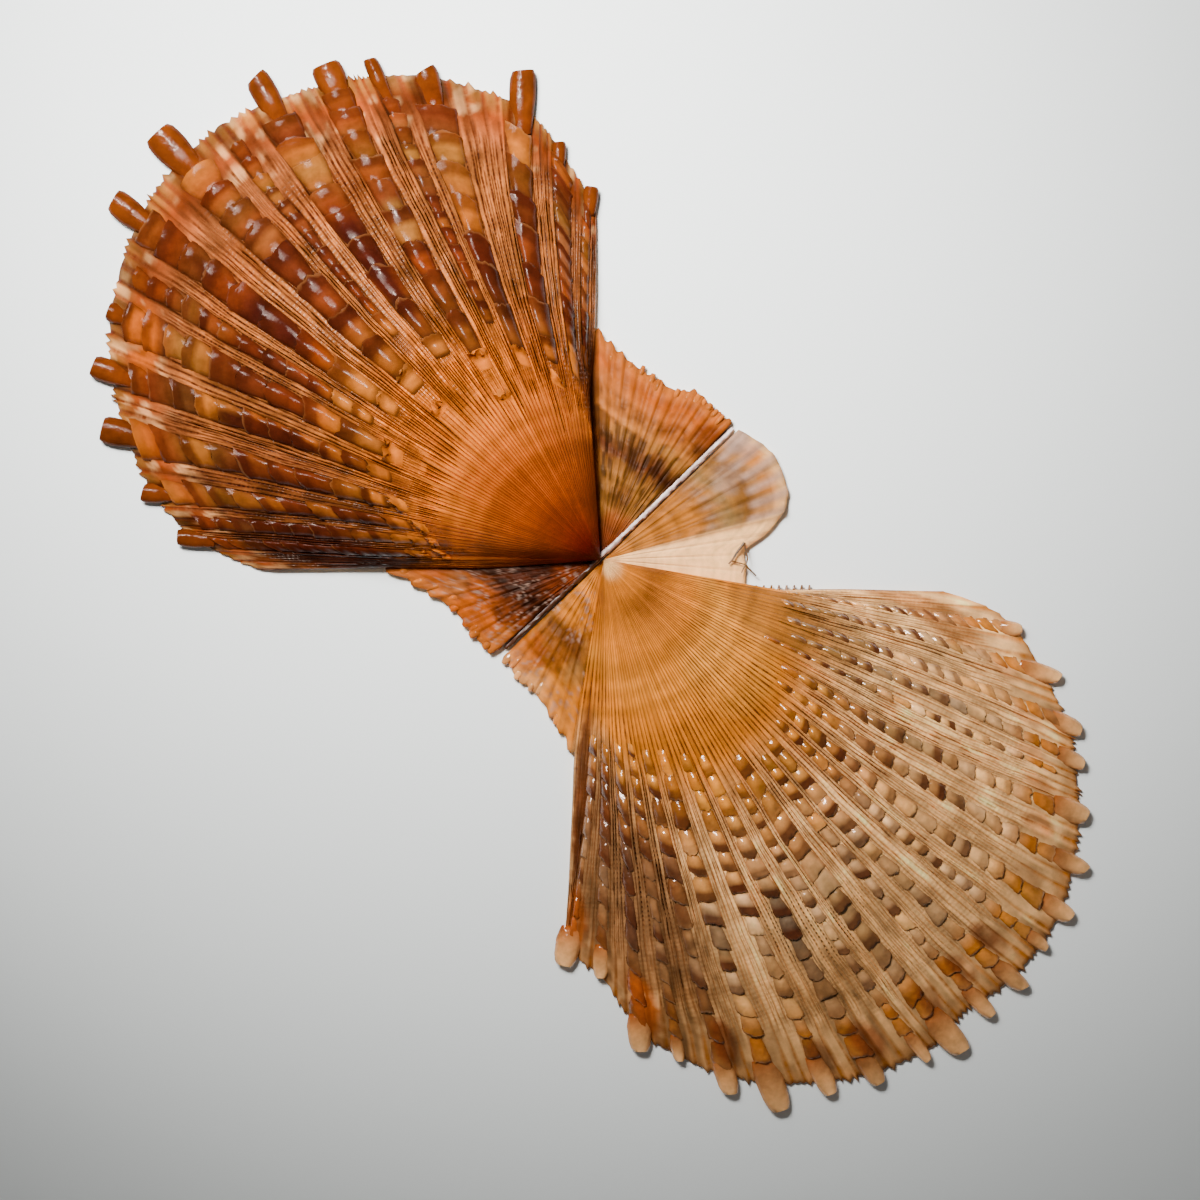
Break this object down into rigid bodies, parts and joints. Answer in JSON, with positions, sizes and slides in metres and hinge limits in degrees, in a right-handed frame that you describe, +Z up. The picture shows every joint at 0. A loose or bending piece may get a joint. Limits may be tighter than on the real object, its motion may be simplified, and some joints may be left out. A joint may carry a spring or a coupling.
{
  "type": "opened scallop shell",
  "caption": "Opened zhikong scallop shell lying flat: both ribbed, scaly valves outer face up, joined along a straight hinge, for display or natural dressing.",
  "frame": {"origin": "centre of the overall bounding box at the level that the shell lies on, a few millimetres below the hinge line", "axes": "+Z up, out of the outer faces; +Y towards the left valve's far margin and -Y towards the right valve's, the longest extent; +X towards the front ears and the byssal notch"},
  "size_m": [0.1224, 0.129, 0.0163],
  "materials": {
    "left_valve_shell": "glossy natural shell, deep orange to maroon with pale riblets and translucent scales",
    "right_valve_shell": "glossy natural shell, orange-tan and cream with grey-brown scales",
    "dried_ligament": "dull dried ligament, mauve-white",
    "dried_byssus": "dull dried byssus, golden brown"
  },
  "bodies": {
    "root": {"left_valve": "left_valve_shell", "right_valve": "right_valve_shell", "hinge_ligament": "dried_ligament", "byssal_thread": "dried_byssus"}
  },
  "joints": []
}
